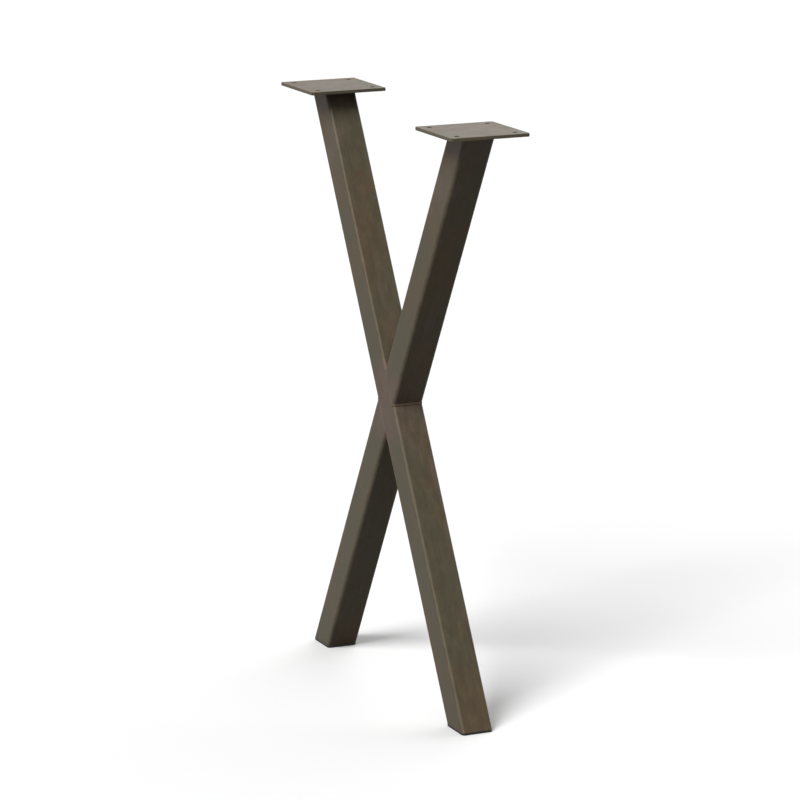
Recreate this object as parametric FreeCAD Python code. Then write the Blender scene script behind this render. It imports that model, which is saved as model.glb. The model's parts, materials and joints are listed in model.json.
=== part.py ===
import FreeCAD, Part
import math
import os

# X-shaped table leg of welded square steel tube. Both bars lie in one plane: one runs through,
# and the other is cut in two halves that are welded to its flanks. Each upper end carries a flat
# screw plate and each lower end a moulded plug. X runs across the leg, Y along the depth of the
# tube and Z up; the origin is on the floor, midway between the feet.

# Driving dimensions in millimetres
leg_height = 720.0             # floor to the top face of the plates
bar_spacing = 400.0            # between the bar axes, at the feet and again at the plates
tube_size = 40.0               # outside width of the square tube
tube_wall = 2.0
tube_corner_radius = 4.0       # outside corners of the tube
bore_corner_radius = 2.0       # inside corners of the tube
plate_size = 100.0             # side of the square screw plate
plate_thickness = 4.0
plate_corner_radius = 3.0
plate_edge_break = 0.5         # softened rim of the plate
screw_hole_diameter = 6.5
screw_edge_distance = 13.0     # hole centre to the nearest plate edge
weld_leg = 3.0                 # length of a fillet weld along each face it joins
weld_toe = 0.5                 # thickness of a plate weld at its lower edge
seam_trim = 0.6                # width left open at the feather edges of the flush seams
flange_thickness = 3.0         # part of the plug that shows below the tube
flange_edge_radius = 0.8
plug_length = 36.0             # spigot inside the tube, along the bar axis
plug_wall = 2.2
spigot_gap = 1.6               # spigot to bore, on each side
fin_clearance = 0.15           # gripping fin to bore, on each side
fin_thickness = 1.2
fin_pitch = 6.0
fin_setback = 3.0              # end of the spigot to the first fin
fin_count = 3

# Derived sizes
tube_bottom = flange_thickness
tube_top = leg_height - plate_thickness
tube_rise = tube_top - tube_bottom
crossing_height = (tube_top + tube_bottom) / 2
lean = math.atan2(bar_spacing, tube_rise)
half_bar_length = tube_rise / math.cos(lean) / 2
half_tube = tube_size / 2
bore_size = tube_size - 2 * tube_wall
spigot_size = bore_size - 2 * spigot_gap
spigot_corner_radius = bore_corner_radius
reach = 2 * (leg_height + bar_spacing + tube_size)

VERTICAL = FreeCAD.Vector(0, 0, 1)
LEAN_AXIS = FreeCAD.Vector(0, 1, 0)
TO_FRONT = 1                   # a bar that rises from the rear foot, at -X, to the front plate
TO_REAR = -1                   # a bar that rises from the front foot, at +X, to the rear plate
THROUGH = TO_REAR              # the bar that runs unbroken through the crossing
CROSSING = TO_FRONT            # the bar that is parted by it


def block(width, depth, height, base=0.0):
    """Plain upright block, centred on the Z axis."""
    return Part.makeBox(width, depth, height, FreeCAD.Vector(-width / 2, -depth / 2, base))


def rounded_block(width, depth, height, radius, base=0.0):
    """Upright block with its four upright edges rounded."""
    plain = block(width, depth, height, base)
    upright = [edge for edge in plain.Edges if abs(edge.tangentAt(edge.FirstParameter).z) > 0.5]
    return plain.makeFillet(radius, upright)


def on_bar(shape, side):
    """Turn an upright shape to the lean of a bar, its origin going to the crossing."""
    shape.rotate(FreeCAD.Vector(0, 0, 0), LEAN_AXIS, side * math.degrees(lean))
    shape.translate(FreeCAD.Vector(0, 0, crossing_height))
    return shape


def layer(bottom, top):
    """Horizontal slice of space that trims a leaning shape."""
    return block(reach, reach, top - bottom, bottom)


def bar_outside(side):
    """Untrimmed outside form of a bar."""
    return on_bar(rounded_block(tube_size, tube_size, reach, tube_corner_radius, -reach / 2), side)


def bar_tube(side):
    """Hollow bar, cut level at the foot and under the plate."""
    bore = on_bar(rounded_block(bore_size, bore_size, reach, bore_corner_radius, -reach / 2), side)
    return bar_outside(side).cut(bore).common(layer(tube_bottom, tube_top))


def half_bars():
    """The crossing bar, parted by the flanks of the through bar: lower half, then upper half."""
    width_of_through_bar = on_bar(block(tube_size, reach, reach, -reach / 2), THROUGH)
    halves = bar_tube(CROSSING).cut(width_of_through_bar).Solids
    return sorted(halves, key=lambda half: half.CenterOfMass.z)


def screw_plate(side):
    """Square plate on the upper end of a bar, drilled near its four corners."""
    plate = rounded_block(plate_size, plate_size, plate_thickness, plate_corner_radius)
    rims = [edge for face in plate.Faces if abs(face.normalAt(0, 0).z) > 0.5 for edge in face.Edges]
    plate = plate.makeFillet(plate_edge_break, rims)
    hole_offset = plate_size / 2 - screw_edge_distance
    for across in (-hole_offset, hole_offset):
        for along in (-hole_offset, hole_offset):
            centre = FreeCAD.Vector(across, along, 0)
            plate = plate.cut(Part.makeCylinder(screw_hole_diameter / 2, plate_thickness, centre))
    plate.translate(FreeCAD.Vector(side * bar_spacing / 2, 0, tube_top))
    return plate


def rounded_outline(width, depth, radius, centre):
    """Level outline of a rounded rectangle about a centre."""
    upright = rounded_block(width, depth, tube_size, radius)
    outline = min(upright.Faces, key=lambda face: face.CenterOfMass.z).OuterWire
    outline.translate(centre)
    return outline


def plate_weld(side):
    """Fillet weld round the upper end of a bar, under its plate."""
    outlines = []
    for drop, growth in ((weld_leg, weld_toe), (0, weld_leg)):
        axis = bar_spacing / 2 - drop * math.tan(lean)
        centre = FreeCAD.Vector(side * axis, 0, tube_top - drop)
        width = tube_size / math.cos(lean) + 2 * growth
        depth = tube_size + 2 * growth
        outlines.append(rounded_outline(width, depth, tube_corner_radius + growth, centre))
    return Part.makeLoft(outlines, True, True).cut(bar_outside(side))


def corner_weld(corner, first_edge, second_edge):
    """Fillet weld in one of the four inner corners of the X, as wide as the flat of the tube."""
    flat = tube_size - 2 * tube_corner_radius
    start = FreeCAD.Vector(corner[0], -flat / 2, corner[1])
    ends = [start + FreeCAD.Vector(run, 0, rise) * weld_leg for run, rise in (first_edge, second_edge)]
    return Part.Face(Part.makePolygon([start, ends[0], ends[1], start])).extrude(FreeCAD.Vector(0, flat, 0))


def flush_seam(flank, face):
    """Weld that fills the rounded corner of the through bar at a half bar, ground flush."""
    seam_length = (tube_size - 2 * tube_corner_radius) / math.sin(2 * lean)
    seam_depth = tube_corner_radius - seam_trim
    middle = CROSSING * flank * half_tube / math.tan(2 * lean)
    inner = half_tube - tube_corner_radius
    corner = FreeCAD.Vector(half_tube - seam_depth, half_tube - seam_depth, -seam_length / 2)
    seam = Part.makeBox(seam_depth, seam_depth, seam_length, corner)
    rounding_base = FreeCAD.Vector(inner, inner, -seam_length)
    seam = seam.cut(Part.makeCylinder(tube_corner_radius, 2 * seam_length, rounding_base))
    if flank < 0:
        seam = seam.mirror(FreeCAD.Vector(0, 0, 0), FreeCAD.Vector(1, 0, 0))
    if face < 0:
        seam = seam.mirror(FreeCAD.Vector(0, 0, 0), FreeCAD.Vector(0, 1, 0))
    seam.translate(FreeCAD.Vector(0, 0, middle))
    return on_bar(seam, THROUGH)


def crossing_welds():
    """All the weld metal at the crossing: four inner corners and four flush seams."""
    run = math.sin(lean)
    rise = math.cos(lean)
    side_reach = half_tube / math.cos(lean)
    upright_reach = half_tube / math.sin(lean)
    welds = []
    for way in (-1, 1):
        level_corner = (way * side_reach, crossing_height)
        welds.append(corner_weld(level_corner, (way * run, rise), (way * run, -rise)))
        upright_corner = (0, crossing_height + way * upright_reach)
        welds.append(corner_weld(upright_corner, (run, way * rise), (-run, way * rise)))
        for face in (-1, 1):
            welds.append(flush_seam(way, face))
    return Part.makeCompound(welds)


def foot_plug(side):
    """Moulded plug: a level flange under the tube and a hollow finned spigot inside it."""
    end_section = Part.Face(bar_outside(side).slice(VERTICAL, tube_bottom)[0])
    flange = end_section.extrude(FreeCAD.Vector(0, 0, -flange_thickness))
    floor_edges = [edge for edge in flange.Edges if edge.BoundBox.ZMax < flange_thickness / 2]
    flange = flange.makeFillet(flange_edge_radius, floor_edges)
    spigot_end = plug_length - half_bar_length
    spigot_depth = plug_length + tube_size
    spigot = rounded_block(spigot_size, spigot_size, spigot_depth, spigot_corner_radius, -spigot_depth)
    fin_size = bore_size - 2 * fin_clearance
    for index in range(fin_count):
        level = -fin_setback - index * fin_pitch - fin_thickness
        spigot = spigot.fuse(rounded_block(fin_size, fin_size, fin_thickness, bore_corner_radius, level))
    hollow_size = spigot_size - 2 * plug_wall
    spigot = spigot.cut(block(hollow_size, hollow_size, spigot_depth, -spigot_depth))
    spigot.translate(FreeCAD.Vector(0, 0, spigot_end))
    spigot = on_bar(spigot, side).common(layer(tube_bottom, tube_top))
    return flange.fuse(spigot).removeSplitter()


lower_half_bar, upper_half_bar = half_bars()
pieces = {
    "through_bar": bar_tube(THROUGH),
    "lower_half_bar": lower_half_bar,
    "upper_half_bar": upper_half_bar,
    "crossing_welds": crossing_welds(),
    "front_plate": screw_plate(TO_FRONT),
    "rear_plate": screw_plate(TO_REAR),
    "front_plate_weld": plate_weld(TO_FRONT),
    "rear_plate_weld": plate_weld(TO_REAR),
    "front_foot_plug": foot_plug(TO_REAR),
    "rear_foot_plug": foot_plug(TO_FRONT),
}

os.makedirs("parts", exist_ok=True)
for name, piece in pieces.items():
    piece.exportStep(f"parts/{name}.step")
    print(name, len(piece.Solids), piece.isValid(), round(piece.Volume), piece.BoundBox)
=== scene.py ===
import json
import math

import bpy
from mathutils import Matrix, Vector


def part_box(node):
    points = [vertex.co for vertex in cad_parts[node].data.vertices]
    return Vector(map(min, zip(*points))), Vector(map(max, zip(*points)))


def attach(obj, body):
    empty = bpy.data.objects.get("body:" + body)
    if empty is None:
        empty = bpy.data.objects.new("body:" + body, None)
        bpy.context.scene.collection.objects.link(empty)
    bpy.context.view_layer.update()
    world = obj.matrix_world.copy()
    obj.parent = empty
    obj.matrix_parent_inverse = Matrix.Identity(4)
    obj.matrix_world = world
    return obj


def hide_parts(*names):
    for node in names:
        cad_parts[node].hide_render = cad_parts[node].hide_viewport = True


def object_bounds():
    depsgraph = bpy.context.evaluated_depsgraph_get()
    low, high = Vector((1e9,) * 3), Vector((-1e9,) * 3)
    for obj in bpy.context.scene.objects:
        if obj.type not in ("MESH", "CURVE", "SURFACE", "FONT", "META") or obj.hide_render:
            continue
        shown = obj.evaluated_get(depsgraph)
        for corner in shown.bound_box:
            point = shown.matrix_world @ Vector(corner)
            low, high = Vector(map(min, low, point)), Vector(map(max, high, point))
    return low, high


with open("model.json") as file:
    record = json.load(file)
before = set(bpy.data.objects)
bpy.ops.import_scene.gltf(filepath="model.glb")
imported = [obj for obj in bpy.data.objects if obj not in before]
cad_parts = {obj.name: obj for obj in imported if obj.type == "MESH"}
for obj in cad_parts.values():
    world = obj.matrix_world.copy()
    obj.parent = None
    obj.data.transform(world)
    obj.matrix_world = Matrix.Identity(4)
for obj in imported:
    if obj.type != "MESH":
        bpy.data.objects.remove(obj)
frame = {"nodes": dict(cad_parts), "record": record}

bl_info = {
    "name": "X-shaped table leg",
    "version": (1, 0, 0),
    "blender": (4, 5, 0),
    "location": "3D View > Sidebar > Table Leg",
    "description": "Dresses a welded steel table leg: tubes, plates, welds, foot plugs and stage",
    "category": "Object",
}

# Sizes read from the frame, in metres
CAD_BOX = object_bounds()
MOUNTS = {mount["name"]: Vector(mount["pos_m"]) for mount in frame["record"]["mounts"]}
TUBE_LOW, TUBE_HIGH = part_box("through_bar")
TUBE_SIZE = TUBE_HIGH.y - TUBE_LOW.y
HALF_TUBE = TUBE_SIZE / 2
BAR_SPACING = MOUNTS["front_foot_face"].x - MOUNTS["rear_foot_face"].x
LEAN = math.atan2(BAR_SPACING, TUBE_HIGH.z - TUBE_LOW.z)
CROSSING = Vector((0, 0, (TUBE_LOW.z + TUBE_HIGH.z) / 2))
HALF_BAR = (TUBE_HIGH.z - CROSSING.z) / math.cos(LEAN)
CENTRE = (CAD_BOX[0] + CAD_BOX[1]) / 2

TO_FRONT = 1             # a bar that rises from the rear foot to the front plate
TO_REAR = -1             # a bar that rises from the front foot to the rear plate
BODY = "root"
ARC_STEPS = 8            # flats in each rounded corner of a tube
BEAD_SIDES = 10
RIPPLE_STEPS = 6         # rings in each ripple of a weld bead
FULL_BEAD = 0.002        # bead radius from which the ripples have their full depth
FLUSH_RISE = 0.00004     # rise of ground weld metal over the face of the tubes
RIM_OUTER = 0.0002       # band of a plate that is rubbed bright, from its edge inwards
RIM_INNER = 0.0012
STEEL_RELIEF = 0.0002    # depth of the bump on steel
KEY_FROM = Vector((0.30, -0.64, 0.71))
KEY_SPREAD = 30          # degrees
FILL_FROM = Vector((-0.50, 0.70, 0.50))
FILL_SPREAD = 60
LAMP_REACH = 3.0
FLOOR_REACH = 30.0


class LegSizes(bpy.types.PropertyGroup):
    """Sizes of the tube and of the weld beads."""

    corner_radius: bpy.props.FloatProperty(
        name="Corner radius", description="Outside corner of the square tube",
        default=0.004, unit="LENGTH")
    wall: bpy.props.FloatProperty(
        name="Wall", description="Thickness of the tube wall", default=0.002, unit="LENGTH")
    bead_leg: bpy.props.FloatProperty(
        name="Bead leg", description="Reach of a crossing bead along each face that it joins",
        default=0.0020, unit="LENGTH")
    bead_swell: bpy.props.FloatProperty(
        name="Bead swell", description="Height of a crossing bead as a share of its half width",
        default=0.30, subtype="FACTOR")
    plate_bead_radius: bpy.props.FloatProperty(
        name="Plate bead radius", description="Round of the bead under a plate",
        default=0.0017, unit="LENGTH")
    plate_bead_offset: bpy.props.FloatProperty(
        name="Plate bead offset", description="Middle of that bead to the plate and to the tube",
        default=0.0008, unit="LENGTH")
    ripple_pitch: bpy.props.FloatProperty(
        name="Ripple pitch", description="Distance between the ripples of a bead",
        default=0.0016, unit="LENGTH")
    ripple_depth: bpy.props.FloatProperty(
        name="Ripple depth", description="Depth of the hollows between ripples",
        default=0.00022, unit="LENGTH")


class LegFinish(bpy.types.PropertyGroup):
    """Colours of the lacquered steel and of the plastic."""

    olive: bpy.props.FloatVectorProperty(
        name="Olive scale", description="Cooler, greenish stretches of the rolled surface",
        default=(0.094, 0.083, 0.053), subtype="COLOR")
    brown: bpy.props.FloatVectorProperty(
        name="Brown scale", description="Warmer stretches of the rolled surface",
        default=(0.113, 0.082, 0.049), subtype="COLOR")
    rose: bpy.props.FloatVectorProperty(
        name="Rose scale", description="Pale reddish stretches of the rolled surface",
        default=(0.140, 0.102, 0.077), subtype="COLOR")
    dark: bpy.props.FloatVectorProperty(
        name="Dark scale", description="Flecks and streaks of thick scale",
        default=(0.046, 0.036, 0.023), subtype="COLOR")
    worn: bpy.props.FloatVectorProperty(
        name="Worn steel", description="Rubbed corners and edges",
        default=(0.175, 0.150, 0.115), subtype="COLOR")
    heat: bpy.props.FloatVectorProperty(
        name="Heat tint", description="Steel next to the welds",
        default=(0.130, 0.090, 0.072), subtype="COLOR")
    plastic: bpy.props.FloatVectorProperty(
        name="Plug plastic", description="Moulded foot plugs",
        default=(0.012, 0.012, 0.012), subtype="COLOR")


class LegStage(bpy.types.PropertyGroup):
    """Camera, lamps and floor."""

    azimuth: bpy.props.FloatProperty(
        name="Azimuth", description="Turn of the camera from the -Y side towards +X",
        default=math.radians(65.5), subtype="ANGLE")
    elevation: bpy.props.FloatProperty(
        name="Elevation", description="Height of the camera above the horizon",
        default=math.radians(12.85), subtype="ANGLE")
    distance: bpy.props.FloatProperty(
        name="Distance", description="Camera to the middle of the leg", default=4.65, unit="LENGTH")
    lens: bpy.props.FloatProperty(
        name="Lens", description="Focal length in millimetres", default=172.0)
    key_strength: bpy.props.FloatProperty(
        name="Key lamp", description="Light on a surface that faces the lamp", default=3.4)
    fill_strength: bpy.props.FloatProperty(
        name="Fill lamp", description="Light from behind the leg", default=1.6)
    ambient: bpy.props.FloatProperty(
        name="Ambient", description="Even light from the surroundings", default=0.31)
    floor: bpy.props.FloatVectorProperty(
        name="Floor", description="Pale floor as the camera sees it",
        default=(0.78, 0.78, 0.78), subtype="COLOR")
    floor_bounce: bpy.props.FloatVectorProperty(
        name="Floor bounce", description="Floor as it lights the leg from below",
        default=(0.03, 0.03, 0.03), subtype="COLOR")


def along_bar(side):
    """Unit vector up a bar."""
    return Vector((side * math.sin(LEAN), 0, math.cos(LEAN)))


def across_bar(side):
    """Unit vector square to a bar, in the plane of the X, towards the front."""
    return Vector((math.cos(LEAN), 0, -side * math.sin(LEAN)))


def finish_piece(piece, material, slot, *nodes):
    """Give a new piece its finish and its body, and hide the nodes that it stands for."""
    piece.data.materials.clear()
    piece.data.materials.append(material)
    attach(piece, BODY)
    if nodes:
        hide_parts(*nodes)
    return piece


def dress_node(name, material):
    """Give a CAD node its finish."""
    node = frame["nodes"][name]
    node.data.materials.clear()
    node.data.materials.append(material)


def link(name, mesh):
    """New object at the origin of the scene."""
    piece = bpy.data.objects.new(name, mesh)
    bpy.context.scene.collection.objects.link(piece)
    return piece


# Node groups and materials

def new_group(name, kind, inputs, outputs):
    """Empty node group with named sockets, and its input and output nodes."""
    group = bpy.data.node_groups.new(name, kind)
    for in_out, sockets in (("INPUT", inputs), ("OUTPUT", outputs)):
        for socket_name, socket_type in sockets:
            group.interface.new_socket(name=socket_name, in_out=in_out, socket_type=socket_type)
    return group, group.nodes.new("NodeGroupInput"), group.nodes.new("NodeGroupOutput")


def math_node(tree, operation, first, second=None, clamp=False):
    """Math node whose inputs are sockets or numbers; returns its output socket."""
    node = tree.nodes.new("ShaderNodeMath")
    node.operation = operation
    node.use_clamp = clamp
    for socket, value in zip(node.inputs, (first, second)):
        if isinstance(value, bpy.types.NodeSocket):
            tree.links.new(value, socket)
        elif value is not None:
            socket.default_value = value
    return node.outputs[0]


def ramp(tree, value, low, high, out_low=0.0, out_high=1.0):
    """Smooth step of a value between two limits."""
    node = tree.nodes.new("ShaderNodeMapRange")
    node.interpolation_type = "SMOOTHSTEP"
    tree.links.new(value, node.inputs["Value"])
    limits = {"From Min": low, "From Max": high, "To Min": out_low, "To Max": out_high}
    for name, number in limits.items():
        node.inputs[name].default_value = number
    return node.outputs["Result"]


def mix_colour(tree, factor, first, second, blend="MIX"):
    """Mix of two colour sockets; returns the colour socket."""
    node = tree.nodes.new("ShaderNodeMix")
    node.data_type = "RGBA"
    node.blend_type = blend
    sockets = (node.inputs["Factor"], node.inputs[6], node.inputs[7])
    for socket, value in zip(sockets, (factor, first, second)):
        if isinstance(value, bpy.types.NodeSocket):
            tree.links.new(value, socket)
        else:
            socket.default_value = value
    return node.outputs[2]


def noise(tree, vector, scale, detail, stretch=(1, 1, 1), roughness=0.5):
    """Noise of a given number of features per metre, stretched along an axis; returns its value."""
    mapping = tree.nodes.new("ShaderNodeMapping")
    mapping.inputs["Scale"].default_value = stretch
    tree.links.new(vector, mapping.inputs["Vector"])
    node = tree.nodes.new("ShaderNodeTexNoise")
    node.inputs["Scale"].default_value = scale
    node.inputs["Detail"].default_value = detail
    node.inputs["Roughness"].default_value = roughness
    tree.links.new(mapping.outputs["Vector"], node.inputs["Vector"])
    return node.outputs["Fac"]


def bar_place_group():
    """Where a point lies on a leaning bar: vector along the bar, rounded corner, closeness to a weld."""
    group, source, result = new_group(
        "bar_place", "ShaderNodeTree",
        [("Vector", "NodeSocketVector"), ("Lean", "NodeSocketFloat")],
        [("Vector", "NodeSocketVector"), ("Corner", "NodeSocketFloat"), ("Heat", "NodeSocketFloat")])
    turn = group.nodes.new("ShaderNodeVectorRotate")
    turn.rotation_type = "Y_AXIS"
    turn.inputs["Center"].default_value = CROSSING
    group.links.new(source.outputs["Vector"], turn.inputs["Vector"])
    group.links.new(source.outputs["Lean"], turn.inputs["Angle"])
    shift = group.nodes.new("ShaderNodeVectorMath")
    shift.operation = "SUBTRACT"
    shift.inputs[1].default_value = CROSSING
    group.links.new(turn.outputs["Vector"], shift.inputs[0])
    parts = group.nodes.new("ShaderNodeSeparateXYZ")
    group.links.new(shift.outputs["Vector"], parts.inputs["Vector"])
    across, depth, along = (math_node(group, "ABSOLUTE", parts.outputs[axis]) for axis in "XYZ")
    corner = ramp(group, math_node(group, "ADD", across, depth), 1.80 * HALF_TUBE, 1.88 * HALF_TUBE)
    near_crossing = ramp(group, along, 0.8 * TUBE_SIZE, 1.7 * TUBE_SIZE, 1.0, 0.0)
    near_plate = ramp(group, parts.outputs["Z"], HALF_BAR - 1.1 * TUBE_SIZE, HALF_BAR - 0.3 * TUBE_SIZE)
    heat = math_node(group, "MAXIMUM", near_crossing, near_plate)
    group.links.new(shift.outputs["Vector"], result.inputs["Vector"])
    group.links.new(corner, result.inputs["Corner"])
    group.links.new(heat, result.inputs["Heat"])
    return group


def rolled_steel_group(finish):
    """Colour, roughness and relief of rolled steel under lacquer, with its grain along Z."""
    group, source, result = new_group(
        "rolled_steel", "ShaderNodeTree",
        [("Vector", "NodeSocketVector"), ("Corner", "NodeSocketFloat"), ("Heat", "NodeSocketFloat")],
        [("Color", "NodeSocketColor"), ("Roughness", "NodeSocketFloat"), ("Height", "NodeSocketFloat")])
    vector = source.outputs["Vector"]
    patches = noise(group, vector, 21.0, 2.0, (1, 1, 0.6))
    bloom = noise(group, vector, 13.0, 2.0, (1.2, 1.2, 0.55), 0.6)
    cloud = noise(group, vector, 95.0, 4.0, (1, 1, 0.5), 0.62)
    streaks = noise(group, vector, 900.0, 2.0, (1, 1, 0.02))
    flecks = noise(group, vector, 420.0, 3.0, (1, 1, 0.35), 0.7)
    shades = (finish.olive, finish.brown, finish.rose, finish.dark, finish.worn, finish.heat)
    olive, brown, rose, dark, worn, heat_tint = ((*shade, 1) for shade in shades)
    colour = mix_colour(group, ramp(group, patches, 0.44, 0.58), olive, brown)
    colour = mix_colour(group, ramp(group, bloom, 0.50, 0.66, 0.0, 0.85), colour, rose)
    blotches = ramp(group, cloud, 0.30, 0.70, 0.25, 0.75)
    heat = math_node(group, "MULTIPLY", source.outputs["Heat"], blotches)
    colour = mix_colour(group, heat, colour, heat_tint)
    colour = mix_colour(group, ramp(group, cloud, 0.30, 0.72, 0.38, 0.0), colour, dark)
    colour = mix_colour(group, ramp(group, streaks, 0.35, 0.65, 0.20, 0.0), colour, dark)
    colour = mix_colour(group, ramp(group, flecks, 0.66, 0.74, 0.0, 0.55), colour, dark)
    wear = ramp(group, cloud, 0.22, 0.78, 0.10, 0.28)
    rubbed = math_node(group, "MULTIPLY", source.outputs["Corner"], wear)
    colour = mix_colour(group, rubbed, colour, worn)
    group.links.new(colour, result.inputs["Color"])
    rough_clouds = ramp(group, cloud, 0.25, 0.75, 0.40, 0.54)
    rough = math_node(group, "ADD", rough_clouds, ramp(group, streaks, 0.3, 0.7, 0, 0.05))
    polish = math_node(group, "MULTIPLY", rubbed, 0.10)
    group.links.new(math_node(group, "SUBTRACT", rough, polish), result.inputs["Roughness"])
    grooves = math_node(group, "MULTIPLY", streaks, 0.5)
    height = math_node(group, "ADD", grooves, math_node(group, "MULTIPLY", cloud, 0.25))
    pits = ramp(group, flecks, 0.62, 0.74, 0.0, 0.4)
    group.links.new(math_node(group, "SUBTRACT", height, pits), result.inputs["Height"])
    return group


def new_material(name):
    """Node material with its Principled shader and the Object coordinates of the piece."""
    material = bpy.data.materials.new(name)
    material.use_nodes = True
    tree = material.node_tree
    shader = tree.nodes["Principled BSDF"]
    coordinates = tree.nodes.new("ShaderNodeTexCoord")
    return material, tree, shader, coordinates.outputs["Object"]


def place_group(tree, group):
    """Node that holds a shared group."""
    node = tree.nodes.new("ShaderNodeGroup")
    node.node_tree = group
    return node


def relief(tree, shader, height, strength, distance):
    """Bump from a height socket into the shader's normal."""
    bump = tree.nodes.new("ShaderNodeBump")
    bump.inputs["Strength"].default_value = strength
    bump.inputs["Distance"].default_value = distance
    tree.links.new(height, bump.inputs["Height"])
    tree.links.new(bump.outputs["Normal"], shader.inputs["Normal"])


def lacquered(shader):
    """Satin clear lacquer over dark steel."""
    shader.inputs["Metallic"].default_value = 0.10
    shader.inputs["Specular IOR Level"].default_value = 0.09
    shader.inputs["Coat Weight"].default_value = 0.02
    shader.inputs["Coat Roughness"].default_value = 0.35


def steel_finish(tree, shader, steel):
    """Rolled steel under lacquer, from the shared group into the shader."""
    tree.links.new(steel.outputs["Color"], shader.inputs["Base Color"])
    tree.links.new(steel.outputs["Roughness"], shader.inputs["Roughness"])
    relief(tree, shader, steel.outputs["Height"], 0.30, STEEL_RELIEF)
    lacquered(shader)


def tube_material(name, side):
    """Lacquered rolled steel with its grain along a bar."""
    material, tree, shader, coordinates = new_material(name)
    place = place_group(tree, bpy.data.node_groups["bar_place"])
    place.inputs["Lean"].default_value = -side * LEAN
    tree.links.new(coordinates, place.inputs["Vector"])
    steel = place_group(tree, bpy.data.node_groups["rolled_steel"])
    for socket in ("Vector", "Corner", "Heat"):
        tree.links.new(place.outputs[socket], steel.inputs[socket])
    steel_finish(tree, shader, steel)
    return material


def plate_material():
    """Lacquered sheet steel, rubbed along the cut edges."""
    material, tree, shader, coordinates = new_material("sheet_steel")
    parts = tree.nodes.new("ShaderNodeSeparateXYZ")
    tree.links.new(coordinates, parts.inputs["Vector"])
    across = math_node(tree, "ABSOLUTE", math_node(
        tree, "SUBTRACT", math_node(tree, "ABSOLUTE", parts.outputs["X"]), MOUNTS["front_plate_top"].x))
    low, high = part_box("front_plate")
    half_plate = (high.y - low.y) / 2
    from_middle = math_node(tree, "MAXIMUM", across, math_node(tree, "ABSOLUTE", parts.outputs["Y"]))
    rim = ramp(tree, from_middle, half_plate - RIM_INNER, half_plate - RIM_OUTER)
    warmed = ramp(tree, from_middle, 0.55 * half_plate, 0.85 * half_plate, 0.8, 0.0)
    grain = tree.nodes.new("ShaderNodeMapping")
    grain.inputs["Rotation"].default_value = (math.radians(90), 0, 0)
    tree.links.new(coordinates, grain.inputs["Vector"])
    steel = place_group(tree, bpy.data.node_groups["rolled_steel"])
    tree.links.new(grain.outputs["Vector"], steel.inputs["Vector"])
    tree.links.new(rim, steel.inputs["Corner"])
    tree.links.new(warmed, steel.inputs["Heat"])
    steel_finish(tree, shader, steel)
    return material


def weld_material(finish):
    """Lacquered weld metal, darkened by heat in fine bands."""
    material, tree, shader, coordinates = new_material("weld_metal")
    soot = noise(tree, coordinates, 300.0, 3.0)
    tone = noise(tree, coordinates, 60.0, 2.0)
    colour = mix_colour(tree, ramp(tree, tone, 0.35, 0.65), (*finish.heat, 1), (*finish.brown, 1))
    colour = mix_colour(tree, ramp(tree, soot, 0.36, 0.60, 0.18, 0.0), colour, (*finish.dark, 1))
    colour = mix_colour(tree, ramp(tree, soot, 0.58, 0.74, 0.0, 0.35), colour, (*finish.worn, 1))
    tree.links.new(colour, shader.inputs["Base Color"])
    tree.links.new(ramp(tree, soot, 0.3, 0.7, 0.34, 0.50), shader.inputs["Roughness"])
    relief(tree, shader, soot, 0.35, STEEL_RELIEF)
    lacquered(shader)
    return material


def plug_material(finish):
    """Black moulded plastic with a fine spark-eroded grain and scuffs."""
    material, tree, shader, coordinates = new_material("plug_plastic")
    grain = noise(tree, coordinates, 1800.0, 2.0)
    scuffs = noise(tree, coordinates, 130.0, 4.0, (0.3, 1, 1.5), 0.65)
    pale = [3.2 * channel for channel in finish.plastic]
    scuffed = ramp(tree, scuffs, 0.55, 0.75, 0.0, 0.6)
    colour = mix_colour(tree, scuffed, (*finish.plastic, 1), (*pale, 1))
    tree.links.new(colour, shader.inputs["Base Color"])
    tree.links.new(ramp(tree, scuffs, 0.3, 0.7, 0.48, 0.64), shader.inputs["Roughness"])
    relief(tree, shader, grain, 0.35, 0.0001)
    shader.inputs["Specular IOR Level"].default_value = 0.30
    return material


# Tubes

def rounded_square(size, radius):
    """Points of a rounded square and their outward normals, in the section of a bar."""
    ring = []
    for quarter in range(4):
        for step in range(ARC_STEPS + 1):
            angle = math.radians(90) * (quarter + step / ARC_STEPS)
            normal = Vector((math.cos(angle), math.sin(angle)))
            middle = math.radians(45 + 90 * quarter)
            inset = (size / 2 - radius) * math.sqrt(2)
            centre = Vector((math.cos(middle), math.sin(middle))) * inset
            ring.append((centre + normal * radius, normal))
    return ring


def on_plane(point, direction, plane):
    """Where a line along a bar meets a cutting plane."""
    place, normal = plane
    return point + direction * ((place - point).dot(normal) / direction.dot(normal))


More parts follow.
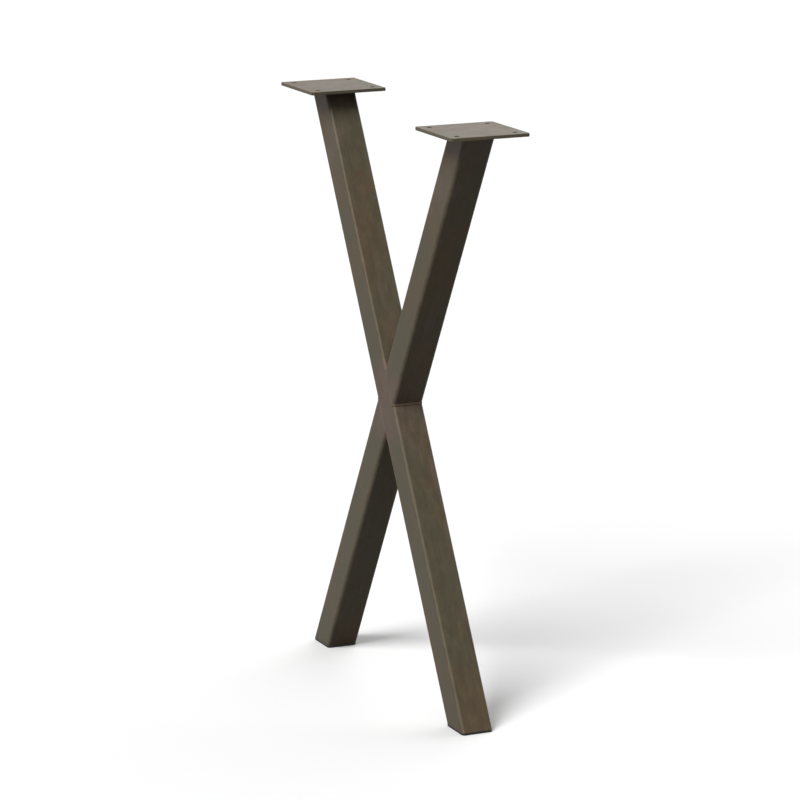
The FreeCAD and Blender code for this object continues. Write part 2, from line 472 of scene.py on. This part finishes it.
def tube_piece(name, side, low_plane, high_plane, sizes):
    """Hollow square tube between two cutting planes, with exact normals on its rounded corners."""
    along = along_bar(side)
    across = across_bar(side)
    depth = Vector((0, 1, 0))
    bore_radius = sizes.corner_radius - sizes.wall
    rings = (rounded_square(TUBE_SIZE, sizes.corner_radius),
             rounded_square(TUBE_SIZE - 2 * sizes.wall, bore_radius))
    count = len(rings[0])
    points = []
    normals = []
    for ring, outward in zip(rings, (1, -1)):
        for plane in (low_plane, high_plane):
            for place, normal in ring:
                points.append(on_plane(CROSSING + across * place.x + depth * place.y, along, plane))
                normals.append(outward * (across * normal.x + depth * normal.y))
    outer_low, outer_high, bore_low, bore_high = (count * index for index in range(4))
    faces = []
    face_normals = []
    for index in range(count):
        after = (index + 1) % count
        walls = (((outer_low, outer_high), None), ((bore_high, bore_low), None),
                 ((bore_low, outer_low), -low_plane[1]), ((outer_high, bore_high), high_plane[1]))
        for (first, second), flat_normal in walls:
            faces.append((first + index, first + after, second + after, second + index))
            face_normals.append(flat_normal)
    mesh = bpy.data.meshes.new(name)
    mesh.from_pydata(points, [], faces)
    mesh.polygons.foreach_set("use_smooth", [True] * len(faces))
    loop_normals = []
    for face, flat_normal in zip(faces, face_normals):
        loop_normals += [flat_normal or normals[corner] for corner in face]
    mesh.update()
    mesh.normals_split_custom_set(loop_normals)
    return link(name, mesh)


class TABLE_LEG_OT_tubes(bpy.types.Operator):
    """Make the through tube and the two half tubes in lacquered rolled steel"""

    bl_idname = "table_leg.tubes"
    bl_label = "Tubes"

    def execute(self, context):
        sizes = context.scene.leg_sizes
        bar_place_group()
        rolled_steel_group(context.scene.leg_finish)
        up = Vector((0, 0, 1))
        foot = (Vector((0, 0, TUBE_LOW.z)), up)
        plate = (Vector((0, 0, TUBE_HIGH.z)), up)
        flank = across_bar(TO_REAR)
        below = (CROSSING - flank * HALF_TUBE, flank)
        above = (CROSSING + flank * HALF_TUBE, flank)
        rising_back = tube_material("tube_steel_rising_back", TO_REAR)
        rising_front = tube_material("tube_steel_rising_front", TO_FRONT)
        through = tube_piece("through_tube", TO_REAR, foot, plate, sizes)
        finish_piece(through, rising_back, "raw_steel", "through_bar")
        lower = tube_piece("lower_half_tube", TO_FRONT, foot, below, sizes)
        finish_piece(lower, rising_front, "raw_steel", "lower_half_bar")
        upper = tube_piece("upper_half_tube", TO_FRONT, above, plate, sizes)
        finish_piece(upper, rising_front, "raw_steel", "upper_half_bar")
        return {"FINISHED"}


class TABLE_LEG_OT_plates(bpy.types.Operator):
    """Finish the two screw plates in lacquered sheet steel"""

    bl_idname = "table_leg.plates"
    bl_label = "Screw plates"

    def execute(self, context):
        material = plate_material()
        for name in ("front_plate", "rear_plate"):
            dress_node(name, material)
        return {"FINISHED"}


class TABLE_LEG_OT_plugs(bpy.types.Operator):
    """Finish the two foot plugs in black moulded plastic"""

    bl_idname = "table_leg.plugs"
    bl_label = "Foot plugs"

    def execute(self, context):
        material = plug_material(context.scene.leg_finish)
        for name in ("front_foot_plug", "rear_foot_plug"):
            dress_node(name, material)
        return {"FINISHED"}


# Weld beads

def bead_tree(material):
    """Geometry nodes that sweep a rippled weld bead along each path."""
    group, source, result = new_group(
        "weld_bead", "GeometryNodeTree",
        [("Geometry", "NodeSocketGeometry"), ("Ripple Pitch", "NodeSocketFloat"),
         ("Ripple Depth", "NodeSocketFloat")],
        [("Geometry", "NodeSocketGeometry")])
    nodes = group.nodes
    links = group.links
    resample = nodes.new("GeometryNodeResampleCurve")
    resample.mode = "LENGTH"
    links.new(source.outputs["Geometry"], resample.inputs["Curve"])
    step = math_node(group, "DIVIDE", source.outputs["Ripple Pitch"], RIPPLE_STEPS)
    links.new(step, resample.inputs["Length"])
    place = nodes.new("GeometryNodeSplineParameter")
    turns = math_node(group, "DIVIDE", place.outputs["Length"], source.outputs["Ripple Pitch"])
    half_waves = math_node(group, "MULTIPLY", turns, math.pi)
    wave = math_node(group, "ABSOLUTE", math_node(group, "SINE", half_waves))
    trough = math_node(group, "SUBTRACT", 1.0, wave)
    hollow = math_node(group, "MULTIPLY", trough, source.outputs["Ripple Depth"])
    uneven = nodes.new("ShaderNodeTexNoise")
    uneven.inputs["Scale"].default_value = 260.0
    position = nodes.new("GeometryNodeInputPosition")
    links.new(position.outputs["Position"], uneven.inputs["Vector"])
    swell = math_node(group, "ADD", math_node(group, "MULTIPLY", uneven.outputs["Fac"], 0.16), 0.92)
    path_radius = nodes.new("GeometryNodeInputRadius")
    thickness = math_node(group, "DIVIDE", path_radius.outputs["Radius"], FULL_BEAD)
    fade = math_node(group, "POWER", thickness, 2.0, clamp=True)
    hollow = math_node(group, "MULTIPLY", hollow, fade)
    round_bead = math_node(group, "MULTIPLY", path_radius.outputs["Radius"], swell)
    section = nodes.new("GeometryNodeCurvePrimitiveCircle")
    section.inputs["Resolution"].default_value = BEAD_SIDES
    section.inputs["Radius"].default_value = 1.0
    sweep = nodes.new("GeometryNodeCurveToMesh")
    sweep.inputs["Fill Caps"].default_value = True
    links.new(resample.outputs["Curve"], sweep.inputs["Curve"])
    links.new(math_node(group, "SUBTRACT", round_bead, hollow), sweep.inputs["Scale"])
    links.new(section.outputs["Curve"], sweep.inputs["Profile Curve"])
    smooth = nodes.new("GeometryNodeSetShadeSmooth")
    links.new(sweep.outputs["Mesh"], smooth.inputs["Geometry"])
    realize = nodes.new("GeometryNodeRealizeInstances")
    links.new(smooth.outputs["Geometry"], realize.inputs["Geometry"])
    finish = nodes.new("GeometryNodeSetMaterial")
    finish.inputs["Material"].default_value = material
    links.new(realize.outputs["Geometry"], finish.inputs["Geometry"])
    links.new(finish.outputs["Geometry"], result.inputs["Geometry"])
    return group


def bead_piece(name, paths, closed, tree, sizes, material):
    """Plain mesh of the beads along the given paths."""
    curve = bpy.data.curves.new(name + "_paths", "CURVE")
    curve.dimensions = "3D"
    for path in paths:
        spline = curve.splines.new("POLY")
        spline.points.add(len(path) - 1)
        spline.use_cyclic_u = closed
        for point, (place, radius) in zip(spline.points, path):
            point.co = (*place, 1)
            point.radius = radius
    carrier = link(name + "_paths", curve)
    modifier = carrier.modifiers.new("Beads", "NODES")
    modifier.node_group = tree
    values = {"Ripple Pitch": sizes.ripple_pitch, "Ripple Depth": sizes.ripple_depth}
    for item in tree.interface.items_tree:
        if item.in_out == "INPUT" and item.name in values:
            modifier[item.identifier] = values[item.name]
    evaluated = carrier.evaluated_get(bpy.context.evaluated_depsgraph_get())
    mesh = bpy.data.meshes.new_from_object(evaluated)
    bpy.data.objects.remove(carrier)
    mesh.name = name
    return finish_piece(link(name, mesh), material, "weld_metal")


def corner_path(opening, half_angle, sizes):
    """Bead path in an inner corner of the X, ground flush where it turns on to the two faces."""
    half_width = sizes.bead_leg * math.sin(half_angle)
    swell = sizes.bead_swell * half_width
    full_radius = (half_width ** 2 + swell ** 2) / (2 * swell)
    full_height = sizes.bead_leg * math.cos(half_angle) + swell
    flat = HALF_TUBE - sizes.corner_radius
    path = []
    for way in (-1, 1):
        for step in range(ARC_STEPS + 1):
            turn = math.radians(90) * (ARC_STEPS - step if way < 0 else step) / ARC_STEPS
            reach = (flat + sizes.corner_radius * math.cos(turn)) / math.sin(half_angle)
            depth = flat + sizes.corner_radius * math.sin(turn)
            height = full_height * math.cos(turn)
            if turn > 0:
                height = min(height, (HALF_TUBE - depth) / math.sin(turn) + FLUSH_RISE)
            radius = full_radius * (1 - 0.5 * math.sin(turn))
            out = height - radius
            along = opening * (reach + out * math.cos(turn))
            sideways = Vector((0, way * (depth + out * math.sin(turn)), 0))
            path.append((CROSSING + along + sideways, radius))
    return path


def corner_paths(sizes):
    """Bead paths in the four inner corners of the X."""
    paths = []
    for way in (-1, 1):
        paths.append(corner_path(Vector((way, 0, 0)), math.radians(90) - LEAN, sizes))
        paths.append(corner_path(Vector((0, 0, way)), LEAN, sizes))
    return paths


def seam_pieces(sizes, material):
    """Ground seams that carry each half tube into the rounded corners of the through tube."""
    flat = HALF_TUBE - sizes.corner_radius
    flank = across_bar(TO_REAR)
    planes = [(CROSSING + flank * reach, flank) for reach in (-HALF_TUBE, -flat, flat, HALF_TUBE)]
    lower = tube_piece("lower_seam", TO_FRONT, planes[0], planes[1], sizes)
    upper = tube_piece("upper_seam", TO_FRONT, planes[2], planes[3], sizes)
    finish_piece(lower, material, "weld_metal", "crossing_welds")
    finish_piece(upper, material, "weld_metal")


def plate_path(side, sizes):
    """Closed bead path round the upper end of a bar, just under its plate."""
    offset = sizes.plate_bead_offset
    plane = (Vector((0, 0, TUBE_HIGH.z - offset)), Vector((0, 0, 1)))
    ring = rounded_square(TUBE_SIZE + 2 * offset, sizes.corner_radius + offset)
    depth = Vector((0, 1, 0))
    path = []
    for place, _ in ring:
        line = CROSSING + across_bar(side) * place.x + depth * place.y
        path.append((on_plane(line, along_bar(side), plane), sizes.plate_bead_radius))
    return path


class TABLE_LEG_OT_welds(bpy.types.Operator):
    """Make the ground seams and the rippled beads of the crossing, and bead the welds of the plates"""

    bl_idname = "table_leg.welds"
    bl_label = "Welds"

    def execute(self, context):
        sizes = context.scene.leg_sizes
        material = weld_material(context.scene.leg_finish)
        for name in ("front_plate_weld", "rear_plate_weld"):
            dress_node(name, material)
        seam_pieces(sizes, material)
        tree = bead_tree(material)
        bead_piece("crossing_beads", corner_paths(sizes), False, tree, sizes, material)
        bead_piece("front_plate_bead", [plate_path(TO_FRONT, sizes)], True, tree, sizes, material)
        bead_piece("rear_plate_bead", [plate_path(TO_REAR, sizes)], True, tree, sizes, material)
        return {"FINISHED"}


# Stage

def seen_rays(tree):
    """One for what is seen straight, in a reflection or through glass; nought for light that bounces."""
    path = tree.nodes.new("ShaderNodeLightPath")
    seen = math_node(tree, "MAXIMUM", path.outputs["Is Camera Ray"], path.outputs["Is Glossy Ray"])
    return math_node(tree, "MAXIMUM", seen, path.outputs["Is Transmission Ray"])


def floor_material(stage):
    """Pale floor whose bounce light is kept low."""
    material, tree, shader, _ = new_material("studio_floor")
    colour = mix_colour(tree, seen_rays(tree), (*stage.floor_bounce, 1), (*stage.floor, 1))
    tree.links.new(colour, shader.inputs["Base Color"])
    shader.inputs["Roughness"].default_value = 0.9
    shader.inputs["Specular IOR Level"].default_value = 0.0
    return material


def studio_world(stage):
    """White surroundings that light the leg evenly and softly."""
    world = bpy.data.worlds.new("studio")
    world.use_nodes = True
    tree = world.node_tree
    background = tree.nodes["Background"]
    background.inputs["Color"].default_value = (1, 1, 1, 1)
    strength = ramp(tree, seen_rays(tree), 0.0, 1.0, stage.ambient, 1.0)
    tree.links.new(strength, background.inputs["Strength"])
    bpy.context.scene.world = world


def soft_lamp(name, towards, spread, strength):
    """Wide even light that comes from a given direction, with its spread in degrees."""
    lamp = bpy.data.lights.new(name, "SUN")
    lamp.angle = math.radians(spread)
    lamp.energy = strength
    holder = link(name, lamp)
    holder.location = CENTRE + towards * LAMP_REACH
    holder.rotation_euler = (-towards).to_track_quat("-Z", "Y").to_euler()


class TABLE_LEG_OT_stage(bpy.types.Operator):
    """Set up the floor, the lamps and the camera"""

    bl_idname = "table_leg.stage"
    bl_label = "Stage"

    def execute(self, context):
        stage = context.scene.leg_stage
        context.scene.view_settings.view_transform = "Standard"
        mesh = bpy.data.meshes.new("studio_floor")
        corners = [(x * FLOOR_REACH, y * FLOOR_REACH, 0) for x, y in ((-1, -1), (1, -1), (1, 1), (-1, 1))]
        mesh.from_pydata(corners, [], [(0, 1, 2, 3)])
        floor = link("studio_floor", mesh)
        floor.data.materials.append(floor_material(stage))
        studio_world(stage)
        soft_lamp("key_lamp", KEY_FROM, KEY_SPREAD, stage.key_strength)
        soft_lamp("fill_lamp", FILL_FROM, FILL_SPREAD, stage.fill_strength)
        camera = bpy.data.cameras.new("camera")
        camera.lens = stage.lens
        holder = link("camera", camera)
        back = Vector((math.sin(stage.azimuth) * math.cos(stage.elevation),
                       -math.cos(stage.azimuth) * math.cos(stage.elevation),
                       math.sin(stage.elevation)))
        holder.location = CENTRE + back * stage.distance
        holder.rotation_euler = (-back).to_track_quat("-Z", "Y").to_euler()
        context.scene.camera = holder
        return {"FINISHED"}


class TABLE_LEG_PT_panel(bpy.types.Panel):
    """Steps that dress the table leg"""

    bl_label = "Table Leg"
    bl_idname = "TABLE_LEG_PT_panel"
    bl_space_type = "VIEW_3D"
    bl_region_type = "UI"
    bl_category = "Table Leg"

    def draw(self, context):
        for step in OPERATORS:
            self.layout.operator(step.bl_idname)


OPERATORS = (
    TABLE_LEG_OT_tubes,
    TABLE_LEG_OT_plates,
    TABLE_LEG_OT_plugs,
    TABLE_LEG_OT_welds,
    TABLE_LEG_OT_stage,
)
CLASSES = (LegSizes, LegFinish, LegStage, *OPERATORS, TABLE_LEG_PT_panel)


def register():
    for cls in CLASSES:
        bpy.utils.register_class(cls)
    bpy.types.Scene.leg_sizes = bpy.props.PointerProperty(type=LegSizes)
    bpy.types.Scene.leg_finish = bpy.props.PointerProperty(type=LegFinish)
    bpy.types.Scene.leg_stage = bpy.props.PointerProperty(type=LegStage)


def unregister():
    del bpy.types.Scene.leg_stage
    del bpy.types.Scene.leg_finish
    del bpy.types.Scene.leg_sizes
    for cls in reversed(CLASSES):
        bpy.utils.unregister_class(cls)


def main():
    register()
    bpy.ops.table_leg.tubes()
    bpy.ops.table_leg.plates()
    bpy.ops.table_leg.plugs()
    bpy.ops.table_leg.welds()
    bpy.ops.table_leg.stage()


if __name__ == "__main__":
    main()
